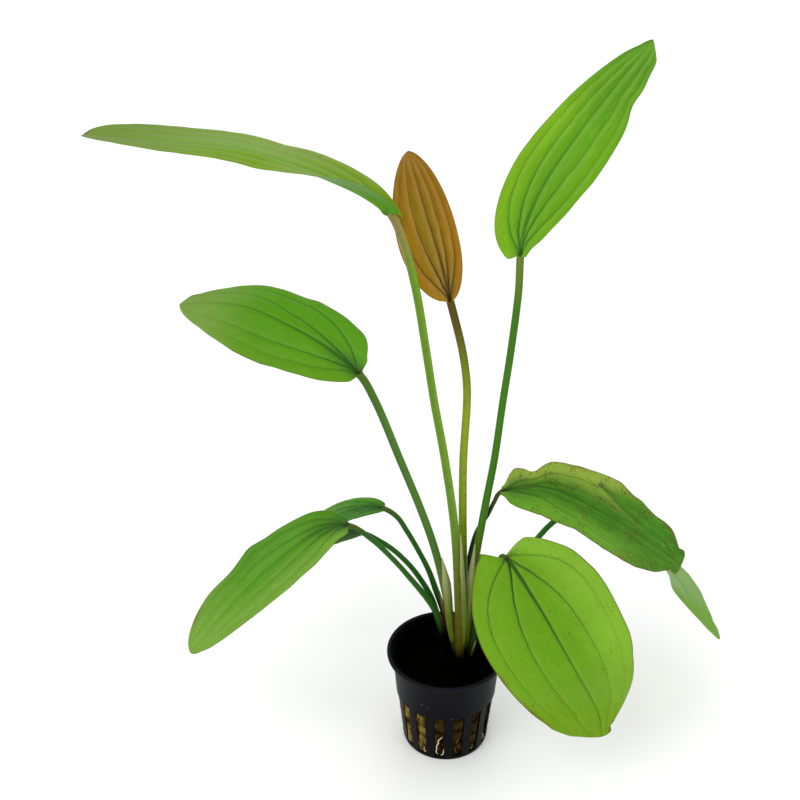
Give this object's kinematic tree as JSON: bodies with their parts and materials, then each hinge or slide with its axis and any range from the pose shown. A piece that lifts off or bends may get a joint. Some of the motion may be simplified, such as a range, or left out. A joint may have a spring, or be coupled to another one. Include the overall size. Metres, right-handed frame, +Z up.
{
  "type": "potted echinodorus",
  "caption": "Water plant with long-stalked lance-shaped to oval leaves, one copper-coloured, rising from rock wool in a small black slotted net pot.",
  "frame": {"origin": "middle of the pot's underside", "axes": "+Z up along the pot's axis; the plant's front, as first seen, looks along -Y; +X is to its right"},
  "size_m": [0.2941, 0.1177, 0.3352],
  "materials": {
    "pot_plastic": "satin",
    "rock_wool": "matte",
    "rootstock": "matte",
    "leaf_green": "satin",
    "leaf_bright_green": "satin",
    "leaf_deep_green": "satin",
    "leaf_copper": "satin"
  },
  "bodies": {
    "root": {"pot": "pot_plastic", "growing_plug": "rock_wool", "crown": "rootstock", "leaf_upper_left": "leaf_green", "leaf_young_copper": "leaf_copper", "leaf_upper_right": "leaf_bright_green", "leaf_middle_left": "leaf_green", "leaf_lower_left": "leaf_green", "leaf_lower_left_back": "leaf_deep_green", "leaf_left_back": "leaf_deep_green", "leaf_right": "leaf_green", "leaf_front": "leaf_bright_green", "leaf_right_back": "leaf_deep_green"}
  },
  "joints": []
}
